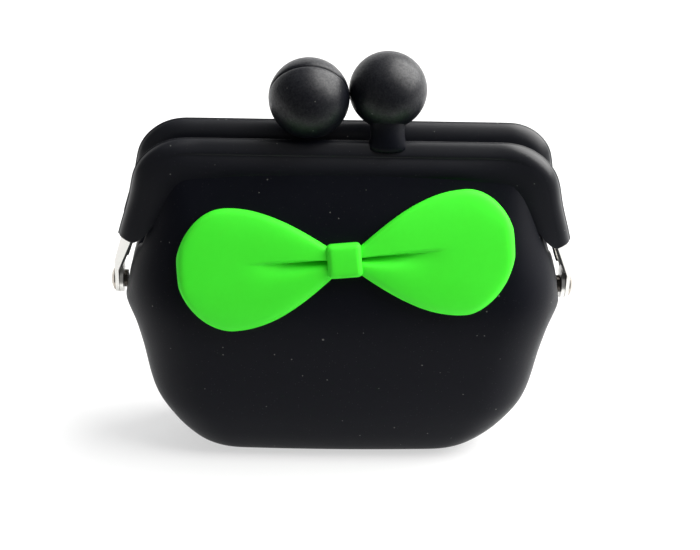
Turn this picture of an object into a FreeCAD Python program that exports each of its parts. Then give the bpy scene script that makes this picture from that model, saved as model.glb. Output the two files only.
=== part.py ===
import FreeCAD, Part
import math
import os

Vector = FreeCAD.Vector

# Pouch, a moulded silicone bag with an open top, widest a little under the hinge
belly_width = 96.4
belly_depth = 36.0
belly_height = 37.0
belly_corner = 14.0
heel_height = 14.0
heel_taper = 5.7
heel_draft = 0.8
base_width = 50.0
base_depth = 17.0
base_corner = 7.0
waist_tuck = 4.6
waist_depth = 31.6
throat_tuck = 2.9
wall_thickness = 2.0
base_thickness = 2.4

# Lips, two silicone sleeves round the mouth, one moulded over each steel frame
crest_height = 74.5
lip_end_overhang = 1.8
lip_end_height = 52.1
lip_top_width = 89.8
lip_corner = 12.0
lip_thickness = 6.4
lip_rounding = 2.9
lip_band = 7.3
arm_width = 7.5
arm_end_slant = 0.6
arm_tip_inset = 3.3
arm_inner_rise = 1.7
window_corner = 13.0
mouth_gap = 6.4
skin_gap = 0.3

# Frames, stamped from steel strip, with folded ears at the hinge
hinge_height = 38.5
sheet = 0.8
strip_width = 4.0
strip_cover = 2.0
leg_width = 2.6
leg_cover = 0.7
leg_bend_width = 1.7
leg_return = 2.2
ear_clearance = 0.1
lug_radius = 3.2
leg_tip_front = 0.6
ear_top_drop = 1.6
tab_width = 4.0

# Rivets, one at each side
shank_radius = 1.2
head_radius = 2.7
head_rim = 0.4
head_height = 1.2
peen_radius = 2.0
peen_height = 0.8
running_clearance = 0.05
side_clearance = 0.6

# Clasp balls on leaning necks
ball_radius = 8.5
ball_clearance = 0.3
front_ball_lift = 1.65
front_ball_crossing = -1.8
rear_ball_lift = 0.35
rear_ball_crossing = 4.2
neck_width = 8.4
neck_inset = 0.6
neck_radius = 3.6
neck_sink = 1.6

# Bow, a soft moulding glued on the front wall
bow_drop = 1.35
bow_length = 73.6
wing_height = 27.4
bow_tilt = 5.1
bow_crown = 3.2
bow_rim = 1.7
bow_root = 4.0
knot_width = 7.4
knot_height = 7.2
knot_crown = 4.4
knot_rounding = 1.6

# Shares of the sizes above
ear_bend_share = 0.44
leg_tip_share = 0.265
neck_end_share = 0.55
tab_end_share = 0.8
heel_turn_shares = (0.0, 0.24, 0.52, 0.83)
rounding_limit_share = 0.49
window_limit_share = 0.8
widest_wing_share = 0.7
flank_share = 0.5
skin_degree = 2
wing_shares = ((0.08, 0.27, 0.9, 0.45), (0.33, 0.68, 0.95, 0.7), (0.52, 0.9, 1.0, 0.9),
               (0.7, 1.0, 0.95, 1.0), (0.85, 0.83, 0.8, 1.0), (0.95, 0.52, 0.62, 1.0),
               (1.0, 0.16, 0.5, 1.0))

overrun = 5.0

lip_end_width = belly_width + 2 * lip_end_overhang
lip_out = mouth_gap / 2 + lip_thickness
lip_middle = (mouth_gap + lip_thickness) / 2
lip_end_low = lip_end_height - arm_end_slant
frame_front = -lip_middle - sheet / 2
leg_low = hinge_height + (lip_end_height - hinge_height) * leg_tip_share
ear_bend = hinge_height + (lip_end_height - hinge_height) * ear_bend_share
leg_lean = (-lug_radius - leg_tip_front - frame_front) / (lip_end_height - leg_low)
window_top = crest_height - lip_band
ear_inside = belly_width / 2 + side_clearance + peen_height
inner_face = ear_inside + ear_clearance + sheet
outer_face = inner_face + ear_clearance + sheet
ball_across = ball_radius + ball_clearance / 2
bow_tilt_turn = math.radians(bow_tilt)
bow_reach = bow_length / 2 * widest_wing_share
bow_rise = bow_reach * math.sin(bow_tilt_turn) + wing_height / 2 * math.cos(bow_tilt_turn)
bow_height = window_top - bow_drop - bow_rise


def rounded_wire(corners, place):
    """Closed wire through (u, v, radius) corners, each rounded by an arc tangent to its two sides."""
    count = len(corners)
    ends = []
    for i, (u, v, radius) in enumerate(corners):
        here = Vector(u, v, 0)
        before = Vector(*corners[i - 1][:2], 0) - here
        after = Vector(*corners[(i + 1) % count][:2], 0) - here
        before.normalize()
        after.normalize()
        half = before.getAngle(after) / 2
        reach = radius / math.tan(half)
        middle = (before + after).normalize() * (radius / math.sin(half) - radius)
        ends.append((here + before * reach, here + middle, here + after * reach))
    edges = []
    for i, (start, middle, end) in enumerate(ends):
        if (end - start).Length > 0:
            arc = Part.Arc(place(start.x, start.y), place(middle.x, middle.y), place(end.x, end.y))
            edges.append(arc.toShape())
        following = ends[(i + 1) % count][0]
        edges.append(Part.makeLine(place(end.x, end.y), place(following.x, following.y)))
    return Part.Wire(edges)


def prism(corners, place, along):
    """Solid made by pushing a rounded outline along a vector."""
    return Part.Face(rounded_wire(corners, place)).extrude(along)


def front_view(depth):
    """Place an outline drawn as seen from the front on the plane at this depth."""
    return lambda u, v: Vector(u, depth, v)


def side_view(across):
    """Place an outline drawn as depth and height on the plane at this distance across."""
    return lambda u, v: Vector(across, u, v)


def leg_view(u, v):
    """Place an outline drawn as seen from the front on the leg's plane, which leans in to the hinge."""
    return Vector(u, frame_front + (lip_end_height - v) * leg_lean, v)


def band(points, thickness):
    """Outline of a bent strip of sheet whose middle line goes through the points."""
    sides = ([], [])
    for i, (u, v) in enumerate(points):
        runs = [Vector(points[k + 1][0] - points[k][0], points[k + 1][1] - points[k][1], 0)
                for k in (i - 1, i) if 0 <= k < len(points) - 1]
        normals = [Vector(-run.y, run.x, 0).normalize() for run in runs]
        mitre = (normals[0] + normals[-1]).normalize()
        mitre = mitre * (thickness / 2 / mitre.dot(normals[0]))
        sides[0].append((u + mitre.x, v + mitre.y, 0))
        sides[1].append((u - mitre.x, v - mitre.y, 0))
    return sides[0] + sides[1][::-1]


def pouch_levels():
    """Height, half width, half depth and corner radius of the pouch from its base to its mouth."""
    base = Vector(base_width / 2, base_depth / 2, base_corner)
    heel = Vector(belly_width / 2 - heel_taper, belly_depth / 2 - heel_draft, belly_corner)
    belly = Vector(belly_width / 2, belly_depth / 2, belly_corner)
    last_turn = heel_turn_shares[-1] * math.pi / 2
    levels = []
    for turn_share in heel_turn_shares:
        turn = turn_share * math.pi / 2
        rise = heel_height * (1 - math.cos(turn)) / (1 - math.cos(last_turn))
        size = base + (heel - base) * (math.sin(turn) / math.sin(last_turn))
        levels.append((rise, size.x, size.y, size.z))
    flank = heel + (belly - heel) * flank_share
    levels.append((heel_height + (belly_height - heel_height) * flank_share, flank.x, flank.y, flank.z))
    levels.append((belly_height, belly.x, belly.y, belly.z))
    corner_share = belly_corner / belly_depth
    waist = lip_end_width / 2 - waist_tuck
    throat = lip_top_width / 2 - throat_tuck
    levels.append((lip_end_low, waist, waist_depth / 2, waist_depth * corner_share))
    levels.append((window_top, throat, lip_out, 2 * lip_out * corner_share))
    return levels


def bag(inset, floor):
    """Lofted bag inside the pouch's outer face by inset, from the floor up past the mouth."""
    sections = []
    for rise, width, depth, corner in pouch_levels():
        height = floor + rise * (window_top - floor) / window_top
        a = width - inset
        b = depth - inset
        r = corner - inset
        corners = ((a, -b, r), (a, b, r), (-a, b, r), (-a, -b, r))
        sections.append(rounded_wire(corners, lambda u, v: Vector(u, v, height)))
    return Part.makeLoft(sections, True, False, False, skin_degree)


def wall_depth(height):
    """Half depth of the pouch's outer face at a height, by straight lines between its levels."""
    levels = pouch_levels()
    for low, high in zip(levels, levels[1:]):
        if height <= high[0]:
            break
    return low[2] + (high[2] - low[2]) * (height - low[0]) / (high[0] - low[0])


def window_corners(gap, drop):
    """Outline of the space inside a lip's arms, drawn in by a gap and let down by a drop."""
    tip = lip_end_width / 2 - arm_tip_inset
    foot = lip_end_width / 2 - arm_width - gap
    top = lip_top_width / 2 - arm_width - gap
    low = lip_end_low - gap
    corner = min(window_corner, (window_top - lip_end_low) * window_limit_share)
    side = ((tip, low - drop, 0), (tip, low, 0), (foot, low + arm_inner_rise, 0),
            (top, window_top - gap, corner))
    return side + tuple((-u, v, r) for u, v, r in side[::-1])


def make_pouch():
    """Pouch: shell of the bag, its side walls ending under the arms and its panels inside them."""
    shell = bag(0, 0).cut(bag(wall_thickness, base_thickness))
    wide = belly_width
    through = Vector(0, 2 * belly_depth, 0)
    side_rim = lip_end_low - skin_gap
    lower = ((wide, -overrun, 0), (wide, side_rim, 0), (-wide, side_rim, 0), (-wide, -overrun, 0))
    keep = prism(lower, front_view(-belly_depth), through)
    keep = keep.fuse(prism(window_corners(skin_gap, overrun), front_view(-belly_depth), through))
    return shell.common(keep)


def make_lip(frame):
    """Front lip: a rounded slab with the window cut out of it, moulded over the frame."""
    end = lip_end_width / 2
    top = lip_top_width / 2
    tip = end - arm_tip_inset
    corners = ((end, lip_end_height, 0), (top, crest_height, lip_corner),
               (-top, crest_height, lip_corner), (-end, lip_end_height, 0),
               (-tip, lip_end_low, 0), (tip, lip_end_low, 0))
    slab = prism(corners, front_view(-lip_out), Vector(0, lip_thickness, 0))
    crest = []
    for edge in slab.Edges:
        box = edge.BoundBox
        if box.YLength < lip_thickness / 2 and box.ZMin > lip_end_low + arm_end_slant / 2:
            crest.append(edge)
    slab = slab.makeFillet(min(lip_rounding, lip_thickness * rounding_limit_share), crest)
    window = prism(window_corners(0, overrun), front_view(-lip_out - overrun),
                   Vector(0, lip_thickness + 2 * overrun, 0))
    return slab.cut(window).cut(frame)


def tangent_point(point, side):
    """Where the line from a point touches the hinge lug, on the side given by its sign."""
    to_lug = Vector(-point[0], hinge_height - point[1], 0)
    reach = math.sqrt(to_lug.Length ** 2 - lug_radius ** 2)
    turn = side * math.asin(lug_radius / to_lug.Length)
    along = to_lug.normalize()
    return (point[0] + reach * (along.x * math.cos(turn) - along.y * math.sin(turn)),
            point[1] + reach * (along.x * math.sin(turn) + along.y * math.cos(turn)))


def make_ear(face, leg_end, hole_radius):
    """Ear on the right: sheet bent to run square to the rivet, trimmed to a lug, with its hole."""
    middle = face - sheet / 2
    line = ((middle, hinge_height - lug_radius - overrun), (middle, ear_bend),
            (leg_end[0] - sheet / 2, leg_end[1]))
    plate = prism(band(line, sheet), front_view(frame_front), Vector(0, lug_radius - frame_front, 0))
    top = (frame_front + ear_top_drop * leg_lean, lip_end_height - ear_top_drop)
    tip = (-lug_radius - leg_tip_front, leg_low)
    far = tangent_point(top, 1)
    near = tangent_point(tip, -1)
    corners = (top + (0,), tip + (0,), near + (0,), far + (0,))
    inside = side_view(min(face, leg_end[0]) - overrun)
    across = Vector(2 * overrun + abs(face - leg_end[0]), 0, 0)
    along = Vector(1, 0, 0)
    lug = Part.makeCylinder(lug_radius, across.x, inside(0, hinge_height), along)
    hole = Part.makeCylinder(hole_radius, across.x, inside(0, hinge_height), along)
    return plate.common(prism(corners, inside, across).fuse(lug)).cut(hole)


def make_frame(face, hole_radius, ball):
    """Front frame: flat U of strip, leaning legs with a folded edge, two ears and a tab to the ball."""
    slope = (lip_end_width - lip_top_width) / 2 / (crest_height - lip_end_height)
    top_height = crest_height - strip_cover
    end = lip_end_width / 2 - leg_cover
    top = lip_top_width / 2 + slope * strip_cover - strip_cover
    outer_corner = lip_corner - strip_cover
    inner_corner = outer_corner - strip_width
    outer = ((end, lip_end_height, 0), (top, top_height, outer_corner))
    inner = ((end - leg_width, lip_end_height, 0),
             (top - strip_width, top_height - strip_width, inner_corner))
    corners = outer + tuple((-u, v, r) for u, v, r in outer[::-1])
    corners += tuple((-u, v, r) for u, v, r in inner) + inner[::-1]
    frame = prism(corners, front_view(frame_front), Vector(0, sheet, 0))
    inner_edge = ((face - sheet, leg_low), (face - leg_bend_width, ear_bend),
                  (end - leg_width, lip_end_height))
    outer_edge = ((end, lip_end_height), (face, ear_bend), (face, leg_low))
    leg = prism([point + (0,) for point in inner_edge + outer_edge], leg_view, Vector(0, sheet, 0))
    fold_line = [(u + sheet / 2, v) for u, v in inner_edge]
    fold = prism(band(fold_line, sheet), leg_view, Vector(0, leg_return, 0))
    leg = leg.fuse(fold).fuse(make_ear(face, (end, lip_end_height), hole_radius))
    frame = frame.fuse(leg).fuse(leg.mirror(Vector(0, 0, 0), Vector(1, 0, 0)))
    rise = (ball.z - top_height) * tab_end_share
    lean = (lip_middle + ball.y) * tab_end_share
    line = ((-lip_middle, top_height - strip_width / 2), (-lip_middle, top_height),
            (-lip_middle + lean, top_height + rise))
    tab = prism(band(line, sheet), side_view(ball.x - tab_width / 2), Vector(tab_width, 0, 0))
    return frame.fuse(tab).removeSplitter()


def make_ball(lip, frame, centre):
    """Front ball on a neck that grows out of the lip's crest and leans towards the mouth."""
    foot = Vector(centre.x, -lip_middle, crest_height - neck_sink)
    lean = centre - foot
    base = Part.Ellipse(foot, neck_width / 2, lip_thickness / 2 - neck_inset).toShape()
    top = Part.makeCircle(neck_radius, foot + lean * neck_end_share, lean)
    neck = Part.makeLoft([Part.Wire(base), Part.Wire(top)], True, False)
    ball = Part.makeSphere(ball_radius, centre)
    return ball.fuse(neck).cut(lip).cut(frame)


def make_rivet():
    """Right rivet: domed head outside, shank through both ears, peened end inside."""
    peen = ear_inside - peen_height
    rim = outer_face + head_rim
    dome = outer_face + head_height
    points = ((peen, 0), (peen, peen_radius), (ear_inside, peen_radius), (ear_inside, shank_radius),
              (outer_face, shank_radius), (outer_face, head_radius), (rim, head_radius))
    places = [Vector(u, 0, hinge_height + v) for u, v in points]
    edges = [Part.makeLine(start, end) for start, end in zip(places, places[1:])]
    dome_radius = (head_radius ** 2 + (dome - rim) ** 2) / (dome - rim) / 2
    half_turn = math.asin(head_radius / dome_radius) / 2
    bulge = Vector(dome - dome_radius * (1 - math.cos(half_turn)), 0,
                   hinge_height + dome_radius * math.sin(half_turn))
    crown = Vector(dome, 0, hinge_height)
    edges.append(Part.Arc(places[-1], bulge, crown).toShape())
    edges.append(Part.makeLine(crown, places[0]))
    return Part.Face(Part.Wire(edges)).revolve(Vector(0, 0, hinge_height), Vector(1, 0, 0), 360)


def bow_place(along, up, out):
    """Point of the bow from its place along the wings, up the wall and out from the wall."""
    low = wall_depth(bow_height - wing_height / 2)
    high = wall_depth(bow_height + wing_height / 2)
    lean = math.atan2(low - high, wing_height)
    across = along * math.cos(bow_tilt_turn) - up * math.sin(bow_tilt_turn)
    rise = along * math.sin(bow_tilt_turn) + up * math.cos(bow_tilt_turn)
    depth = -wall_depth(bow_height) + rise * math.sin(lean) - out * math.cos(lean)
    return Vector(across, depth, bow_height + rise * math.cos(lean) + out * math.sin(lean))


def make_wing(side):
    """Wing of the bow: lofted crowned sections with a crease along the middle, blunt at the end."""
    sections = []
    for reach_share, height_share, crown_share, crease_share in wing_shares:
        along = side * bow_length / 2 * reach_share
        half = wing_height / 2 * height_share
        crown = bow_crown * crown_share
        rim = bow_rim * crown_share
        dip = crown * crease_share
        low_back = bow_place(along, -half, -bow_root)
        low_rim = bow_place(along, -half, rim)
        middle = bow_place(along, 0, dip)
        high_rim = bow_place(along, half, rim)
        high_back = bow_place(along, half, -bow_root)
        low_lobe = Part.Arc(low_rim, bow_place(along, -half / 2, crown), middle)
        high_lobe = Part.Arc(middle, bow_place(along, half / 2, crown), high_rim)
        edges = [Part.makeLine(low_back, low_rim), low_lobe.toShape(), high_lobe.toShape(),
                 Part.makeLine(high_rim, high_back), Part.makeLine(high_back, low_back)]
        sections.append(Part.Wire(edges))
    return Part.makeLoft(sections, True, False)


def make_bow():
    """Bow: two wings and a knot in one moulding, its back shaped to the front wall."""
    half = knot_width / 2
    tall = knot_height / 2
    corners = ((half, -bow_root, 0), (half, knot_crown, knot_rounding),
               (-half, knot_crown, knot_rounding), (-half, -bow_root, 0))
    outline = rounded_wire(corners, lambda u, v: bow_place(u, -tall, v))
    along = bow_place(0, tall, 0) - bow_place(0, -tall, 0)
    knot = Part.Face(outline).extrude(along)
    return knot.fuse(make_wing(1)).fuse(make_wing(-1)).cut(bag(0, 0))


def turned(shape):
    """The same piece for the rear half, turned half round about the upright axis."""
    return shape.rotated(Vector(0, 0, 0), Vector(0, 0, 1), 180)


front_centre = Vector(ball_across, front_ball_crossing, crest_height + ball_radius + front_ball_lift)
rear_centre = Vector(ball_across, rear_ball_crossing, crest_height + ball_radius + rear_ball_lift)
front_frame = make_frame(outer_face, shank_radius, front_centre)
inner_frame = make_frame(inner_face, shank_radius + running_clearance, rear_centre)
front_lip = make_lip(front_frame)
inner_lip = make_lip(inner_frame)
right_rivet = make_rivet()

pieces = {
    "pouch": make_pouch(),
    "bow": make_bow(),
    "front_frame": front_frame,
    "front_lip": front_lip,
    "front_ball": make_ball(front_lip, front_frame, front_centre),
    "rear_frame": turned(inner_frame),
    "rear_lip": turned(inner_lip),
    "rear_ball": turned(make_ball(inner_lip, inner_frame, rear_centre)),
    "left_rivet": turned(right_rivet),
    "right_rivet": right_rivet,
}

os.makedirs("parts", exist_ok=True)
for name, shape in pieces.items():
    shape.exportStep("parts/" + name + ".step")
    print(name, len(shape.Solids), shape.isValid(), round(shape.Volume, 1))
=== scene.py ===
import math

import bmesh
import bpy
from mathutils import Euler, Matrix, Vector


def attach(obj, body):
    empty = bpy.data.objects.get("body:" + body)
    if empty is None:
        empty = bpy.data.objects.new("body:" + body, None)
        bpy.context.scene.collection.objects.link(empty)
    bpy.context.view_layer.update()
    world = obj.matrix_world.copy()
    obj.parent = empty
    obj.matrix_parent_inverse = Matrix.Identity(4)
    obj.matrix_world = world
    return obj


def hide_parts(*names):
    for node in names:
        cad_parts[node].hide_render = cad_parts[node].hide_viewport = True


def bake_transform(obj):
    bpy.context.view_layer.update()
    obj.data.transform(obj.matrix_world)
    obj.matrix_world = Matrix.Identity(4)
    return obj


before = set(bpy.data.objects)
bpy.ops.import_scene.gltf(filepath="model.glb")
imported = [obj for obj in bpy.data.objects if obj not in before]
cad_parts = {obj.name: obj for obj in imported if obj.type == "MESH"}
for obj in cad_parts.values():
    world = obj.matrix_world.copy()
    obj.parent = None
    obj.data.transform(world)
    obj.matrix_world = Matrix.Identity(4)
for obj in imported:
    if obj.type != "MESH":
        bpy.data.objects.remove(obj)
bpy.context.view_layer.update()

# Pouch: the soft bag that holds the coins, moulded in one go from black silicone about 2 mm thick.
# Its front and rear panels run up into the lips, and between the arms its side walls end in a low
# rim. It is made here as two half skins that meet at the sides.

MM = 0.001

# Height, half width, half depth and corner radius, from the base to the edge inside the lips.
pouch_sections = (
    (0.0, 25.0, 8.5, 7.0),
    (1.2, 31.3, 11.6, 9.5),
    (4.0, 35.4, 14.0, 11.4),
    (8.0, 39.2, 15.8, 13.0),
    (14.0, 42.9, 17.2, 14.0),
    (25.5, 45.5, 17.7, 14.0),
    (37.0, 48.2, 18.0, 14.0),
    (43.0, 48.0, 17.4, 13.6),
    (50.0, 46.1, 15.8, 12.3),
    (57.5, 43.7, 13.4, 10.4),
    (66.8, 42.0, 9.5, 7.6),
    (70.0, 42.0, 8.5, 7.0),
)
pouch_wall = 2.0
pouch_rim = 50.4
pouch_mouth = 70.0
front_swell = 0.5

# The rim dips between the arms, the wall swells beside each rivet, and the base's front edge lies a
# little to the left.
rim_dip = 2.5
rim_dip_height = 12.0
rim_dip_depth = 6.2
side_swell = 1.5
side_swell_height = 35.8
side_swell_spread = 2.2
side_swell_depth = 4.5
base_shift = 1.1
base_shift_height = 14.0
base_shift_depth = 8.0

# Columns and rows of a half skin, and the share of the base's width that its middle line takes.
side_columns = 3
corner_columns = 8
slot_columns = 5
front_columns = 24
base_rows = 3
wall_rows = 26
mouth_rows = 6
row_spacing = 1.5
base_line = 0.55
seam_column = 0.999


def pouch_section(height):
    """Half width, half depth and corner radius of the pouch at a height, on a smooth curve."""
    rows = pouch_sections
    i = max(k for k in range(len(rows) - 1) if k == 0 or rows[k][0] <= height)

    def slope(k, column):
        low = rows[max(k - 1, 0)]
        high = rows[min(k + 1, len(rows) - 1)]
        return (high[column] - low[column]) / (high[0] - low[0])

    run = rows[i + 1][0] - rows[i][0]
    t = (height - rows[i][0]) / run
    sizes = []
    for column in (1, 2, 3):
        sizes.append(
            (2 * t**3 - 3 * t**2 + 1) * rows[i][column]
            + (t**3 - 2 * t**2 + t) * run * slope(i, column)
            + (3 * t**2 - 2 * t**3) * rows[i + 1][column]
            + (t**3 - t**2) * run * slope(i + 1, column)
        )
    return sizes


def front_wall_depth(across, height):
    """How far the front wall stands out from the middle of the pouch at a place on it."""
    half_width, half_depth, corner = pouch_section(height)
    flat = half_width - corner
    if abs(across) <= flat:
        return half_depth + front_swell * (1 - (across / flat) ** 2)
    turn = min(abs(across) - flat, corner)
    return half_depth - corner + math.sqrt(corner**2 - turn**2)


def front_skin_point(column, row):
    """Point of the front half skin, its columns from left to right and its rows from the base up."""
    spread = 1.0
    if row < base_rows:
        spread = row / base_rows
        height = 0.0
    elif row <= base_rows + wall_rows:
        height = pouch_rim * ((row - base_rows) / wall_rows) ** row_spacing
    else:
        height = pouch_rim + (pouch_mouth - pouch_rim) * (row - base_rows - wall_rows) / mouth_rows
    half_width, half_depth, corner = pouch_section(height)
    side = half_depth - corner
    flat = half_width - corner
    last = 2 * (side_columns + corner_columns) + front_columns
    from_edge = min(column, last - column)
    sign = -1 if column < last / 2 else 1
    if from_edge <= side_columns:
        x = half_width
        y = side * from_edge / side_columns
    elif from_edge <= side_columns + corner_columns:
        turn = (from_edge - side_columns) / corner_columns * math.pi / 2
        x = flat + corner * math.cos(turn)
        y = side + corner * math.sin(turn)
    else:
        x = flat * (1 - 2 * (from_edge - side_columns - corner_columns) / front_columns)
        y = front_wall_depth(x, height)
    swell = side_swell * math.exp(-(((height - side_swell_height) / side_swell_spread) ** 2))
    beside = (y / side_swell_depth) ** 2
    x += math.copysign(swell * beside * math.exp(1 - beside), x)
    if height > pouch_rim - rim_dip_height and y < rim_dip_depth:
        reach = 1 - (y / rim_dip_depth) ** 2
        near_rim = min((height - pouch_rim + rim_dip_height) / rim_dip_height, 1.0)
        height -= rim_dip * reach * near_rim
    shift = base_shift * max(0.0, 1 - height / base_shift_height) ** 2
    shift *= min(y * spread / base_shift_depth, 1.0)
    x *= base_line + (1 - base_line) * spread
    return Vector((sign * x - shift, -y * spread, height)) * MM


class Tone:
    """A shader socket: sums and products of it add Math nodes to the same material."""

    def __init__(self, tree, socket):
        self.tree = tree
        self.socket = socket

    def node(self, kind, settings, inputs, output=0):
        """Any node, by its type, its settings and the values or links of its sockets."""
        made = self.tree.nodes.new(kind)
        for name, value in settings.items():
            setattr(made, name, value)
        for key, value in inputs.items():
            if isinstance(value, Tone):
                self.tree.links.new(value.socket, made.inputs[key])
            else:
                made.inputs[key].default_value = value
        return Tone(self.tree, made.outputs[output])

    def math(self, operation, *values):
        return self.node("ShaderNodeMath", {"operation": operation}, dict(enumerate(values)))

    def __add__(self, other):
        return self.math("ADD", self, other)

    def __radd__(self, other):
        return self.math("ADD", other, self)

    def __sub__(self, other):
        return self.math("SUBTRACT", self, other)

    def __rsub__(self, other):
        return self.math("SUBTRACT", other, self)

    def __mul__(self, other):
        return self.math("MULTIPLY", self, other)

    def __rmul__(self, other):
        return self.math("MULTIPLY", other, self)

    def __lt__(self, other):
        return self.math("LESS_THAN", self, other)

    def __gt__(self, other):
        return self.math("GREATER_THAN", self, other)

    def noise(self, scale, detail=2.0, roughness=0.5):
        inputs = {"Vector": self, "Scale": scale, "Detail": detail, "Roughness": roughness}
        return self.node("ShaderNodeTexNoise", {}, inputs)

    def between(self, low, high):
        """This share of the way from one colour to another, each a fixed colour or a socket."""
        ends = [end if isinstance(end, Tone) else (*end, 1.0) for end in (low, high)]
        inputs = {0: self, 6: ends[0], 7: ends[1]}
        return self.node("ShaderNodeMix", {"data_type": "RGBA"}, inputs, 2)

    def eased(self, low, high, start, end):
        """A soft ramp from start to end as this value goes from low to high."""
        inputs = {"Value": self, "From Min": low, "From Max": high, "To Min": start, "To Max": end}
        return self.node("ShaderNodeMapRange", {"interpolation_type": "SMOOTHSTEP"}, inputs)

    def feed(self, socket):
        self.tree.links.new(self.socket, socket)


def finish(name, **constants):
    """A new material with its shader's constants set, and the Object coordinates to work from."""
    material = bpy.data.materials.new(name)
    material.use_nodes = True
    shader = material.node_tree.nodes["Principled BSDF"]
    for socket, value in constants.items():
        shader.inputs[socket.replace("_", " ")].default_value = value
    place = Tone(material.node_tree, None).node("ShaderNodeTexCoord", {}, {}, 3)
    return material, shader.inputs, place


grain_height = 0.05
silicone_ior = 1.41
rubber_black = (0.0010, 0.0014, 0.0040)
rubber_worn = (0.0022, 0.0028, 0.0060)
fine_dust = (0.12, 0.12, 0.12)
lint_grey = (0.12, 0.12, 0.115)
wall_dullness = 0.41
wall_sheen = 0.14
wall_sheen_roughness = 0.25


def silicone_grain(place, shader, strength):
    """The fine eggshell surface that a blasted mould leaves on silicone, as a bump."""
    grain = place.noise(5200.0, 3.0, 0.6) + place.noise(900.0, 2.0) * 0.6
    inputs = {"Strength": strength, "Distance": grain_height * MM, "Height": grain}
    place.node("ShaderNodeBump", {}, inputs).feed(shader["Normal"])


def lint(place, scale, share, size):
    """Mask of the small dust specks that cling to silicone: a few of the cells, a dot in each."""
    cells = place.node("ShaderNodeTexVoronoi", {}, {"Vector": place, "Scale": scale}, 0)
    pick = place.node("ShaderNodeTexVoronoi", {}, {"Vector": place, "Scale": scale}, 1)
    pick = pick.node("ShaderNodeSeparateColor", {}, {0: pick})
    return (cells < size) * (pick < share)


def black_silicone(name, dullness):
    """Blue-black silicone with some dust on it, as dull as this part of the mould leaves it."""
    material, shader, place = finish(
        name,
        Specular_IOR_Level=0.15,
        IOR=silicone_ior,
        Coat_IOR=silicone_ior,
        Coat_Roughness=0.34,
    )
    mottle = place.noise(70.0, 4.0, 0.6) * 0.6 + place.noise(420.0, 3.0, 0.6) * 0.4
    specks = lint(place, 520.0, 0.20, 0.08) + lint(place, 210.0, 0.12, 0.05)
    rubber = mottle.between(rubber_black, rubber_worn)
    rubber = (lint(place, 1500.0, 0.3, 0.16) * 0.1).between(rubber, fine_dust)
    (specks * 0.8).between(rubber, lint_grey).feed(shader["Base Color"])
    (dullness + mottle * 0.14).feed(shader["Roughness"])
    silicone_grain(place, shader, 0.35)
    return material, shader, place


wall_silicone, shader, place = black_silicone("wall_silicone", wall_dullness)
shader["Sheen Weight"].default_value = wall_sheen
shader["Sheen Roughness"].default_value = wall_sheen_roughness


def piece(name, bm, material, half_turn=False):
    """Object with this mesh, turned to the rear half if asked, smooth all over."""
    if half_turn:
        turned = Matrix.Rotation(math.pi, 3, "Z")
        bmesh.ops.rotate(bm, verts=bm.verts, cent=(0, 0, 0), matrix=turned)
    for face in bm.faces:
        face.smooth = True
    mesh = bpy.data.meshes.new(name)
    bm.to_mesh(mesh)
    bm.free()
    mesh.materials.append(material)
    made = bpy.data.objects.new(name, mesh)
    bpy.context.scene.collection.objects.link(made)
    return made


def rounded(made, levels):
    """Live subdivision that rounds a piece."""
    soft = made.modifiers.new("rounding", "SUBSURF")
    soft.levels = levels
    soft.render_levels = levels


def thickened(made, thickness):
    """Live thickness inwards from a skin."""
    thick = made.modifiers.new("thickness", "SOLIDIFY")
    thick.thickness = thickness * MM
    thick.offset = -1.0


def follow_lip(made):
    """Bake a soft piece's placement into its mesh."""
    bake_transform(made)


for body in ("front", "rear"):
    columns = 2 * (side_columns + corner_columns) + front_columns
    rows = base_rows + wall_rows + mouth_rows
    bm = bmesh.new()
    bmesh.ops.create_grid(bm, x_segments=columns, y_segments=rows, size=1.0)
    between_arms = []
    for face in bm.faces:
        middle = face.calc_center_median()
        above_rim = (middle.y + 1) / 2 * rows > base_rows + wall_rows
        if above_rim and (1 - abs(middle.x)) / 2 * columns < slot_columns:
            between_arms.append(face)
    bmesh.ops.delete(bm, geom=between_arms, context="FACES")
    crease = bm.edges.layers.float.new("crease_edge")
    for edge in bm.edges:
        if min(abs(vertex.co.x) for vertex in edge.verts) > seam_column:
            edge[crease] = 1.0
            edge.smooth = False
    for vertex in bm.verts:
        column = round((vertex.co.x + 1) / 2 * columns)
        row = round((vertex.co.y + 1) / 2 * rows)
        vertex.co = front_skin_point(column, row)
    skin = piece("pouch_" + body, bm, wall_silicone, body == "rear")
    thickened(skin, pouch_wall)
    rounded(skin, 2)
    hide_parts("pouch")
    follow_lip(skin)

# Bow: a soft green silicone ornament, cast flat with a crease in each wing and a knot band across
# the middle, and glued slightly askew on the front wall, whose curve it follows.

bow_height = 49.9
bow_tilt = math.radians(5.1)
bow_crown = 3.0
bow_rim = 2.0
upright_share = 0.972
wing_length = 36.8
wing_half_height = 13.7
wing_edge_width = 1.6
wing_edge_drop = 0.9
wing_blunt = 1.84
wing_sunk = 0.8
crease_depth = 2.3
crease_rise = 0.6
crease_climb = 1.5
root_lift = 0.5

# Shares of a wing's length, and of its half height for the crease's two sides.
wing_start = 0.06
wing_root = 0.025
wing_widest = 0.7
wing_end = 1.007
wing_back_inset = 0.08
crease_start = 0.16
crease_end = 0.62
climb_end = 0.3
root_crown = 0.7
root_crown_end = 0.3
root_lift_end = 0.45
lower_lobe_dip = 0.2
upper_lobe_dip = 0.03

# Columns and rows of a wing, which lie closer together at the tip, the crease and the edges.
wing_columns = 26
wing_rows = 28
column_spacing = 1.35
middle_rows = 1.8
edge_rows = 0.6


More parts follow.
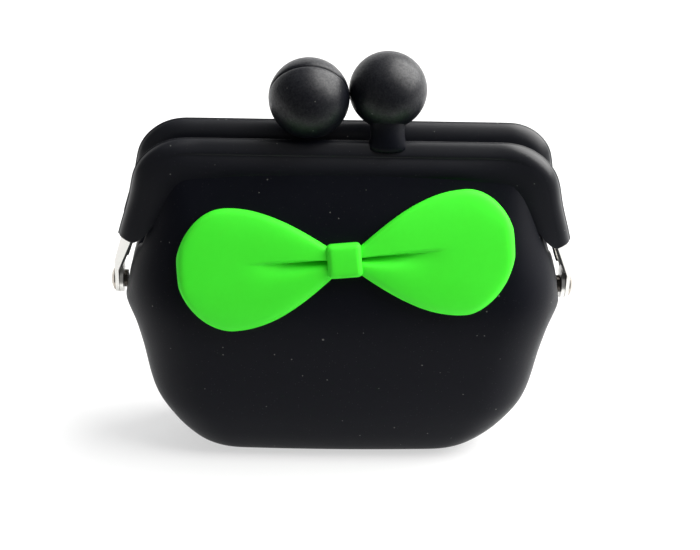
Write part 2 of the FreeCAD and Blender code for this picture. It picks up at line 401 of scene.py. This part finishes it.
def bow_point(along, up, out):
    """Place on the front wall from the knot's middle, along the wings, up, and out from the wall."""
    across = along * math.cos(bow_tilt) - up * math.sin(bow_tilt)
    rise = along * math.sin(bow_tilt) + up * math.cos(bow_tilt)
    height = bow_height + rise * upright_share
    below = front_wall_depth(across, height - 1)
    above = front_wall_depth(across, height + 1)
    lean = math.atan2(below - above, 2.0)
    depth = front_wall_depth(across, height) + out * math.cos(lean)
    return Vector((across, -depth, height + out * math.sin(lean))) * MM


def wing_half(share):
    """Half height of a wing at a share of its length: it widens from the knot to a blunt end."""
    if share < wing_widest:
        opening = math.pi / 2 * (share + wing_root) / (wing_widest + wing_root)
        return wing_half_height * math.sin(opening)
    reach = (share - wing_widest) / (wing_end - wing_widest)
    return wing_half_height * (1 - reach**wing_blunt) ** (1 / wing_blunt)


def wing_point(share, level, side, sweep, behind):
    """Point of a wing: two crowned lobes, the upper folded over the lower, or the sunk back."""
    root = root_crown + (1 - root_crown) * min(share / root_crown_end, 1.0)
    out = bow_rim + (bow_crown - bow_rim) * (1 - level**4) * root
    edge = min(wing_half(share) * (1 - abs(level)), wing_length * (1 - share))
    out -= wing_edge_drop * max(0.0, 1 - edge / wing_edge_width) ** 2
    fade = min(max((crease_end - share) / (crease_end - crease_start), 0.0), 1.0)
    fade = fade * fade * (3 - 2 * fade)
    if level <= 0:
        out -= crease_depth * fade * math.exp(-((level / lower_lobe_dip) ** 2))
    elif level < upper_lobe_dip:
        out -= crease_depth * fade * (1 - level / upper_lobe_dip)
    up = wing_half(share) * level + sweep * max(0.0, share - wing_widest) / (1 - wing_widest)
    climb = (crease_rise + crease_climb * share) * (1 - level**2)
    up += climb * min(1.0, (1 - share) / climb_end)
    up += root_lift * max(0.0, 1 - share / root_lift_end)
    along = wing_length * share
    if behind:
        along += (wing_length * wing_widest - along) * wing_back_inset
        up *= 1 - wing_back_inset
        out = -wing_sunk
    return bow_point(side * along, up, out)


bow_green = (0.050, 0.770, 0.026)
bow_green_pale = (0.066, 0.880, 0.037)
green_silicone, shader, place = finish(
    "green_silicone",
    Specular_IOR_Level=0.16,
    IOR=silicone_ior,
    Subsurface_Weight=0.06,
    Subsurface_Scale=2 * MM,
)
tint = place.noise(60.0, 3.0, 0.55) * 0.7 + place.noise(700.0, 2.0) * 0.3
tint.between(bow_green, bow_green_pale).feed(shader["Base Color"])
(0.42 + place.noise(240.0, 3.0) * 0.14).feed(shader["Roughness"])
silicone_grain(place, shader, 0.3)

for name, side, sweep in (("bow_left_wing", -1, 0.5), ("bow_right_wing", 1, 1.5)):
    bm = bmesh.new()
    bmesh.ops.create_grid(bm, x_segments=wing_columns, y_segments=wing_rows, size=1.0)
    grown = bmesh.ops.extrude_face_region(bm, geom=bm.faces, use_keep_orig=True)["geom"]
    back = {part for part in grown if isinstance(part, bmesh.types.BMVert)}
    for vertex in bm.verts:
        column, row = vertex.co.xy
        share = wing_start + (1 - wing_start) * (1 - (0.5 - column / 2) ** column_spacing)
        level = abs(row) ** middle_rows * (1 + edge_rows - edge_rows * row**2)
        vertex.co = wing_point(share, math.copysign(level, row), side, sweep, vertex in back)
    bmesh.ops.recalc_face_normals(bm, faces=bm.faces)
    wing = piece(name, bm, green_silicone)
    rounded(wing, 2)
    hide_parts("bow")
    follow_lip(wing)

# Knot: the short band across the middle of the bow, cast with it, fuller than the wings and rounded
# over at its edges.

knot_width = 7.4
knot_height = 7.2
knot_shift = -0.4
knot_rise = 0.9
knot_out = 3.9
knot_sunk = 1.0
knot_droop = 0.225
knot_flare = 0.05
knot_edge = 1.4
knot_edge_angle = math.radians(50)

bm = bmesh.new()
bmesh.ops.create_cube(bm, size=1.0)
bmesh.ops.subdivide_edges(bm, edges=bm.edges, cuts=3, use_grid_fill=True)
for vertex in bm.verts:
    along, up, out = vertex.co
    from_middle = (2 * up) ** 2
    reach = knot_out - knot_droop * from_middle + knot_sunk
    along = along * knot_width * (1 + knot_flare * from_middle) + knot_shift
    vertex.co = bow_point(along, up * knot_height + knot_rise, (out + 0.5) * reach - knot_sunk)
bmesh.ops.recalc_face_normals(bm, faces=bm.faces)
knot = piece("bow_knot", bm, green_silicone)
soft_edge = knot.modifiers.new("edge", "BEVEL")
soft_edge.width = knot_edge * MM
soft_edge.segments = 4
soft_edge.limit_method = "ANGLE"
soft_edge.angle_limit = knot_edge_angle
rounded(knot, 2)
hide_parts("bow")
follow_lip(knot)

# Frames and rivets: two spring frames stamped from bright nickel-plated steel strip, buried in the
# lips apart from their legs, and a domed rivet through the folded ears at each side. Their solids
# stay in view.

nickel_bright = (0.84, 0.83, 0.80)
nickel_stained = (0.70, 0.69, 0.66)
scratch_height = 0.03
rivet_bright = (0.58, 0.53, 0.46)
rivet_tarnished = (0.34, 0.31, 0.28)
# Painted shade: the dark colour of each rivet's inner end and how far out from the middle it
# reaches.
rivet_painted_shade = (0.05, 0.045, 0.04)
rivet_shade_edge = 49.7

nickel_steel, shader, place = finish("nickel_steel", Metallic=1.0)
stretched = place.node("ShaderNodeMapping", {}, {"Vector": place, "Scale": (1.0, 1.0, 0.06)})
scratches = stretched.noise(5200.0, 3.0, 0.6)
stain = place.noise(260.0, 4.0, 0.6)
stain.between(nickel_bright, nickel_stained).feed(shader["Base Color"])
(0.2 + scratches * 0.12 + stain * 0.08).feed(shader["Roughness"])
polish = {"Strength": 0.2, "Distance": scratch_height * MM, "Height": scratches}
place.node("ShaderNodeBump", {}, polish).feed(shader["Normal"])
for name in ("front_frame", "rear_frame"):
    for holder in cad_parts[name].material_slots:
        holder.material = nickel_steel

rivet_steel, shader, place = finish("rivet_steel", Metallic=1.0)
tarnish = place.noise(420.0, 4.0, 0.6)
across = place.node("ShaderNodeSeparateXYZ", {}, {"Vector": place}, 0)
# The rivet's inner end, between the ear and the pouch, is painted dark as painted shade; the tarnish
# elsewhere is random.
painted_shade_mask = across.math("ABSOLUTE", across) < rivet_shade_edge * MM
head = tarnish.between(rivet_bright, rivet_tarnished)
painted_shade_mask.between(head, rivet_painted_shade).feed(shader["Base Color"])
(0.16 + tarnish * 0.16).feed(shader["Roughness"])
for name in ("left_rivet", "right_rivet"):
    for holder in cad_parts[name].material_slots:
        holder.material = rivet_steel

# Lips: a thick bead of the same black silicone moulded over each frame, up one arm, along the crest
# and down the other arm. The mould's parting line stands up as a thin ridge along the crest.

lip_end = Vector((50.0, 0.0, 52.1))
lip_arm = Vector((-5.1, 0.0, 22.4)).normalized()
lip_middle = 6.4
lip_band = 8.3

# The web that fills the inner corner between arm and crest: its size, how far it reaches, the depth
# in the bead where it starts and the run over which it grows, its corner and its direction.
web_size = 4.0
web_reach = 15.0
web_start = 4.0
web_run = 4.2
web_corner = 8.0
web_in = 0.62
web_down = 0.78

# The arms' lower ends are cut at a slant that rises inwards, and each arm is a little hollow.
arm_tip_inset = 3.3
arm_tip_drop = 0.5
arm_tip_reach = 16.0
arm_tip_edge = 0.4
arm_cap_inset = 0.4
arm_inner_rise = 0.6
arm_inner_curve = 1.7
arm_hollow = 0.45
arm_hollow_end = 4.0

# The bead's section: inwards from the crest, towards the outside, and how far the step fills up past
# its end near the corners.
step_end = 33.0
step_fade = 7.0
lip_section = (
    (-0.22, 0.0, 0.0), (-0.08, 0.12, 0.0), (0.06, 0.22, 0.0), (0.12, 0.4, 0.15), (0.38, 0.75, 0.5),
    (0.9, 1.15, 0.75), (1.6, 1.6, 0.75), (2.3, 1.98, 0.65), (2.75, 2.12, 0.6), (3.1, 1.95, 0.85),
    (3.45, 2.15, 0.75), (4.6, 2.85, 0.3), (5.8, 3.3, 0.05), (7.2, 3.4, 0.0), (8.0, 2.9, 0.0),
    (8.3, 2.0, 0.0), (8.3, 0.0, 0.0), (8.2, -2.0, 0.0), (7.4, -2.8, 0.0), (5.0, -2.9, 0.0),
    (2.8, -2.5, 0.0), (1.7, -1.95, 0.0), (0.9, -1.4, 0.0), (0.4, -0.95, 0.0), (0.16, -0.5, 0.0),
    (0.08, -0.24, 0.0), (-0.08, -0.12, 0.0),
)
arm_steps = 6
corner_steps = 9
crest_steps = 26

# The bead is glossy at its crest, and the gloss fades towards its inner edge.
lip_dullness = 0.38
lip_gloss = 0.66
gloss_fades_from = 4.6
gloss_fades_to = 8.0
lip_silicone, shader, place = black_silicone("lip_silicone", lip_dullness)
bead = place.node("ShaderNodeAttribute", {"attribute_name": "depth"}, {}, 2)
bead.eased(gloss_fades_from, gloss_fades_to, lip_gloss, 0.0).feed(shader["Coat Weight"])


def extruded(bm, edges, run, steps):
    """Draw a ring of edges along a straight run, and give back the last ring."""
    for step in range(steps):
        grown = bmesh.ops.extrude_edge_only(bm, edges=edges)["geom"]
        points = [part for part in grown if isinstance(part, bmesh.types.BMVert)]
        edges = [part for part in grown if isinstance(part, bmesh.types.BMEdge)]
        edges = [edge for edge in edges if edge.verts[0] in points and edge.verts[1] in points]
        bmesh.ops.translate(bm, verts=points, vec=run / steps)
    return edges


def spun(bm, edges, centre, turn, steps):
    """Turn a ring of edges about a centre in the plane of the lip, and give back the last ring."""
    points = {vertex for edge in edges for vertex in edge.verts}
    last = bmesh.ops.spin(
        bm, geom=[*points, *edges], cent=centre, axis=(0, -1, 0), angle=turn, steps=steps
    )["geom_last"]
    return [part for part in last if isinstance(part, bmesh.types.BMEdge)]


def make_lip(name, body, lip_top, corners, half_turn):
    """One lip: the bead's section drawn up an arm, round a corner, along the crest and down."""
    inward = Vector((-lip_arm.z, 0.0, lip_arm.x))
    turn = math.acos(-lip_arm.x)
    tangents = [corner * math.tan(turn / 2) for corner in corners]
    arm_length = (lip_top - lip_end.z) / lip_arm.z
    corner_point = lip_end + lip_arm * arm_length
    bm = bmesh.new()
    depth = bm.verts.layers.float.new("depth")
    filling = bm.verts.layers.float.new("filling")
    ring = []
    for into, outward, fill in lip_section:
        across_bead = Vector((0, -lip_middle - outward, 0))
        vertex = bm.verts.new((lip_end + inward * into + across_bead) * MM)
        vertex[depth] = into
        vertex[filling] = fill
        ring.append(vertex)
    first = [bm.edges.new((ring[k - 1], ring[k])) for k in range(len(ring))]
    straights = [arm_length - tangent - arm_tip_edge for tangent in tangents]
    centres = [corner_point - lip_arm * tangents[k] + inward * corners[k] for k in (0, 1)]
    edges = extruded(bm, first, lip_arm * arm_tip_edge * MM, 1)
    edges = extruded(bm, edges, lip_arm * straights[0] * MM, arm_steps)
    edges = spun(bm, edges, centres[0] * MM, turn, corner_steps)
    crest = Vector((sum(tangents) - 2 * corner_point.x, 0, 0))
    edges = extruded(bm, edges, crest * MM, crest_steps)
    edges = spun(bm, edges, Vector((-centres[1].x, 0, centres[1].z)) * MM, turn, corner_steps)
    down = Vector((lip_arm.x, 0, -lip_arm.z))
    edges = extruded(bm, edges, down * straights[1] * MM, arm_steps)
    edges = extruded(bm, edges, down * arm_tip_edge * MM, 1)
    for last in (first, edges):
        cap = bmesh.ops.contextual_create(bm, geom=last)["faces"]
        bmesh.ops.inset_region(bm, faces=cap, thickness=arm_cap_inset * MM, depth=0.0)
    bisector = (inward + Vector((0, 0, -1))).normalized()
    inner_corners = [centres[k] - bisector * (corners[k] - web_corner) for k in (0, 1)]
    for vertex in bm.verts:
        x, y, z = vertex.co / MM
        sign = math.copysign(1.0, x)
        share = max(0.0, vertex[depth] - web_start) / web_run
        away = (Vector((abs(x), 0, z)) - inner_corners[x < 0]).length / web_reach
        web = web_size * share * max(0.0, 1 - away**2) ** 2
        x -= sign * web_in * web
        z -= web_down * web
        from_end = Vector((abs(x), 0, z)) - lip_end
        near_end = max(0.0, 1 - max(0.0, from_end.dot(lip_arm)) / arm_tip_reach)
        into = min(max(from_end.dot(inward), 0.0), lip_band)
        drop = arm_tip_drop * min(into / arm_tip_inset, 1.0)
        drop -= arm_inner_rise * max(0.0, into - arm_tip_inset) ** arm_inner_curve
        x += sign * -lip_arm.x * drop * near_end
        z -= lip_arm.z * drop * near_end
        along = (z - lip_end.z) / (lip_top - arm_hollow_end - lip_end.z)
        x -= sign * arm_hollow * math.sin(math.pi * min(max(along, 0.0), 1.0)) ** 2
        y -= vertex[filling] * min(max((abs(x) - step_end) / step_fade, 0.0), 1.0)
        vertex.co = Vector((x, y, z)) * MM
    bmesh.ops.recalc_face_normals(bm, faces=bm.faces)
    made = piece(name, bm, lip_silicone, half_turn)
    rounded(made, 2)
    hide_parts(body + "_lip")
    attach(made, body)


make_lip("front_lip_bead", "front", 74.5, (13.8, 12.4), False)
make_lip("rear_lip_bead", "rear", 74.75, (11.6, 10.5), True)

# Leg shade strips: painted shade, a thin dark bar of the lips' silicone along the folded inner edge
# of each leg of the frame, standing in for that edge's shade; it tapers out at the ear.

shade_strip_top = Vector((46.7, -6.8, 52.6))
shade_strip_low_depth = -3.8
shade_strip_low_height = 42.8
shade_strip_width = 0.95
shade_strip_depth = 2.1
shade_strip_taper = 0.55
shade_strip_overlap = 0.12
shade_strip_proud = 0.1


def make_leg_shade_strip(name, body, side, low_edge, half_turn):
    """One strip of painted shade, a bar drawn along the leg's inner edge, narrower and thinner at
    its lower end.
    """
    bm = bmesh.new()
    bmesh.ops.create_cube(bm, size=1.0)
    bmesh.ops.subdivide_edges(bm, edges=bm.edges, cuts=3, use_grid_fill=True)
    low = Vector((low_edge, shade_strip_low_depth, shade_strip_low_height))
    for vertex in bm.verts:
        inwards, back, up = vertex.co + Vector((0.5, 0.5, 0.5))
        taper = shade_strip_taper + (1 - shade_strip_taper) * up
        centre = low.lerp(shade_strip_top, up)
        x = centre.x + shade_strip_overlap - (shade_strip_width * taper + shade_strip_overlap) * inwards
        y = centre.y - shade_strip_proud + shade_strip_depth * taper * back
        vertex.co = Vector((side * x, y, centre.z)) * MM
    bmesh.ops.recalc_face_normals(bm, faces=bm.faces)
    made = piece(name, bm, lip_silicone, half_turn)
    rounded(made, 1)
    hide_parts(body + "_lip")
    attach(made, body)


make_leg_shade_strip("front_left_leg_shade_strip", "front", -1, 50.3, False)
make_leg_shade_strip("front_right_leg_shade_strip", "front", 1, 50.3, False)
make_leg_shade_strip("rear_left_leg_shade_strip", "rear", 1, 49.4, True)
make_leg_shade_strip("rear_right_leg_shade_strip", "rear", -1, 49.4, True)

# Clasp balls: a silicone ball stands on each lip, cast with it, on a short neck that leans towards
# the mouth, so that the two balls pass each other and snap shut. The mould's parting line runs round
# each.

ball_parting = math.radians(20.0)
groove_depth = 0.8
groove_turn = math.radians(1.4)
ball_steps = 24
ball_pole = 0.999
merge_gap = 0.01

# A neck's rings: depth, height, lean from upright in degrees, half width and half thickness.
upright_neck = (
    (-6.4, 72.2, 0.0, 4.9, 3.0),
    (-6.4, 73.8, 3.0, 4.2, 2.9),
    (-6.1, 75.2, 14.0, 3.8, 3.0),
    (-5.4, 76.7, 24.0, 3.7, 3.3),
    (-4.8, 78.1, 24.4, 3.9, 3.7),
    (-4.2, 79.4, 24.4, 4.7, 4.6),
    (-3.6, 80.7, 24.4, 4.0, 3.9),
)
leaning_neck = (
    (-6.4, 72.2, 0.0, 4.7, 3.0),
    (-6.3, 73.6, 6.0, 4.3, 2.9),
    (-5.8, 74.9, 22.0, 3.8, 2.9),
    (-4.8, 76.1, 40.0, 3.5, 3.1),
    (-3.4, 77.2, 50.0, 3.5, 3.3),
    (-2.1, 78.3, 50.0, 4.0, 3.9),
    (-1.0, 79.2, 50.0, 5.0, 4.8),
    (0.4, 80.4, 50.0, 4.2, 4.0),
)

# Handling has polished the balls between fine pits, and the gloss fades towards the necks.
ball_dullness = 0.38
ball_coat_roughness = 0.42
ball_gloss = 2.35
ball_pits = 0.2
polish_starts = 75.0
polish_full = 83.0
ball_silicone, shader, place = black_silicone("ball_silicone", ball_dullness)
shader["Coat Roughness"].default_value = ball_coat_roughness
pitted = place.noise(2300.0, 3.0, 0.7) * 0.7 + place.noise(700.0, 3.0, 0.6) * 0.3
standing = place.node("ShaderNodeSeparateXYZ", {}, {"Vector": place}, 2)
handled = standing.eased(polish_starts * MM, polish_full * MM, 0.0, 1.0)
((pitted - ball_pits) * ball_gloss * handled).feed(shader["Coat Weight"])


def make_ball(name, body, ball_radius, centre, neck, half_turn):
    """Ball spun about the line across the purse, grooved along two meridians, on its bent neck."""
    bm = bmesh.new()
    meridian = []
    for step in range(ball_steps + 1):
        turn = math.pi * step / ball_steps
        point = Vector((-math.cos(turn), 0, math.sin(turn)))
        meridian.append(bm.verts.new(point * ball_radius * MM))
    edges = [bm.edges.new(pair) for pair in zip(meridian, meridian[1:])]
    geom = [*meridian, *edges]
    groove_side = (groove_turn, 1)
    half_ball = (groove_side, (math.pi - 2 * groove_turn, ball_steps - 2), groove_side)
    for turn, steps in 2 * half_ball:
        geom = bmesh.ops.spin(
            bm, geom=geom, cent=(0, 0, 0), axis=(1, 0, 0), angle=turn, steps=steps
        )["geom_last"]
    bmesh.ops.remove_doubles(bm, verts=bm.verts, dist=merge_gap * MM)
    for vertex in bm.verts:
        on_groove = abs(vertex.co.y) < merge_gap * MM
        if on_groove and abs(vertex.co.x) < ball_radius * MM * ball_pole:
            vertex.co *= 1 - groove_depth / ball_radius
    leaned = Matrix.Rotation(-ball_parting, 3, "X")
    bmesh.ops.rotate(bm, verts=bm.verts, cent=(0, 0, 0), matrix=leaned)
    bmesh.ops.translate(bm, verts=bm.verts, vec=Vector(centre) * MM)
    rings = []
    for depth, height, lean, half_width, half_thickness in neck:
        ellipse = Matrix.LocRotScale(
            Vector((centre[0], depth, height)) * MM,
            Euler((-math.radians(lean), 0, 0)),
            Vector((half_width, half_thickness, 1)) * MM,
        )
        ring = bmesh.ops.create_circle(bm, segments=ball_steps, radius=1.0, matrix=ellipse)
        rings.append(list({edge for vertex in ring["verts"] for edge in vertex.link_edges}))
    for low, high in zip(rings, rings[1:]):
        bmesh.ops.bridge_loops(bm, edges=low + high)
    for last in (rings[0], rings[-1]):
        bmesh.ops.contextual_create(bm, geom=last)
    bmesh.ops.recalc_face_normals(bm, faces=bm.faces)
    made = piece(name, bm, ball_silicone, half_turn)
    rounded(made, 1)
    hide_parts(body + "_ball")
    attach(made, body)


make_ball("front_clasp_ball", "front", 8.5, (8.52, -1.8, 84.65), upright_neck, False)
make_ball("rear_clasp_ball", "rear", 8.78, (8.56, 4.2, 83.35), leaning_neck, True)

# Studio: a white paper sweep that ends just in front of the purse, a large softbox high on the right
# and a wide, weak one overhead, seen a little from above. The room is laid out in metres.

paper_front = -0.08
paper_bend = 0.7
paper_curve = 0.5
paper_length = 2.4
paper_half_width = 2.0
paper_glow = 0.58
paper_grey = (0.90, 0.905, 0.915)
paper_white = (0.93, 0.935, 0.94)
bm = bmesh.new()
bmesh.ops.create_grid(bm, x_segments=2, y_segments=48, size=1.0)
for vertex in bm.verts:
    run = paper_front + (vertex.co.y + 1) / 2 * paper_length
    turn = min(max((run - paper_bend) / paper_curve, 0.0), math.pi / 2)
    beyond = max(0.0, run - paper_bend - paper_curve * math.pi / 2)
    y = min(run, paper_bend) + paper_curve * math.sin(turn)
    height = paper_curve * (1 - math.cos(turn)) + beyond
    vertex.co = Vector((vertex.co.x * paper_half_width, y, height))
white_paper, shader, place = finish("white_paper", Roughness=0.9, Specular_IOR_Level=0.1)
place.noise(30.0, 3.0).between(paper_grey, paper_white).feed(shader["Base Color"])
tree = white_paper.node_tree
seen = place.node("ShaderNodeLightPath", {}, {}, 0)
mirrored = place.node("ShaderNodeLightPath", {}, {}, 3)
through = place.node("ShaderNodeLightPath", {}, {}, 6)
glowing = seen.math("MAXIMUM", seen.math("MAXIMUM", seen, mirrored), through) * paper_glow
glow = place.node("ShaderNodeEmission", {}, {"Color": (1.0, 1.0, 1.0, 1.0), "Strength": 1.0})
sheet = Tone(tree, tree.nodes["Principled BSDF"].outputs[0])
mixed = place.node("ShaderNodeMixShader", {}, {0: glowing, 1: sheet, 2: glow})
mixed.feed(tree.nodes["Material Output"].inputs["Surface"])
piece("paper", bm, white_paper)

light_aim = Vector((0.0, 0.0, 0.05))
room_light = 0.2


def softbox(name, stand, size, power, colour):
    """A square area lamp that faces the purse."""
    lamp = bpy.data.lights.new(name, "AREA")
    lamp.shape = "SQUARE"
    lamp.size = size
    lamp.energy = power
    lamp.color = colour
    holder = bpy.data.objects.new(name, lamp)
    holder.location = stand
    holder.rotation_mode = "QUATERNION"
    holder.rotation_quaternion = (light_aim - Vector(stand)).to_track_quat("-Z", "Y")
    bpy.context.scene.collection.objects.link(holder)


softbox("key", (0.944, 0.096, 1.026), 1.76, 76.5, (1.0, 0.99, 0.97))
softbox("overhead", (0.0, -0.05, 1.0), 1.2, 1.5, (0.97, 0.985, 1.0))

world = bpy.data.worlds.new("studio")
bpy.context.scene.world = world
world.use_nodes = True
around = world.node_tree.nodes["Background"]
around.inputs["Color"].default_value = (1.0, 1.0, 1.0, 1.0)
around.inputs["Strength"].default_value = room_light

view_target = Vector((1.54, 0.0, 39.93)) * MM
view_distance = 0.38
view_height = math.radians(24.0)
view_yaw = math.radians(-2.36)
view_roll = math.radians(1.71)
picture_width = 700
focal_pixels = 1666.75
outward = math.cos(view_height)
to_camera = Vector(
    (math.sin(view_yaw) * outward, -math.cos(view_yaw) * outward, math.sin(view_height))
)
lens = bpy.data.cameras.new("camera")
lens.sensor_width = 36.0
lens.lens = focal_pixels / picture_width * lens.sensor_width
lens.clip_start = 0.01
camera = bpy.data.objects.new("camera", lens)
camera.location = view_target + to_camera * view_distance
camera.rotation_mode = "QUATERNION"
facing = (-to_camera).to_track_quat("-Z", "Y")
camera.rotation_quaternion = facing @ Euler((0, 0, view_roll)).to_quaternion()
bpy.context.scene.collection.objects.link(camera)
bpy.context.scene.camera = camera
bpy.context.scene.view_settings.view_transform = "Standard"
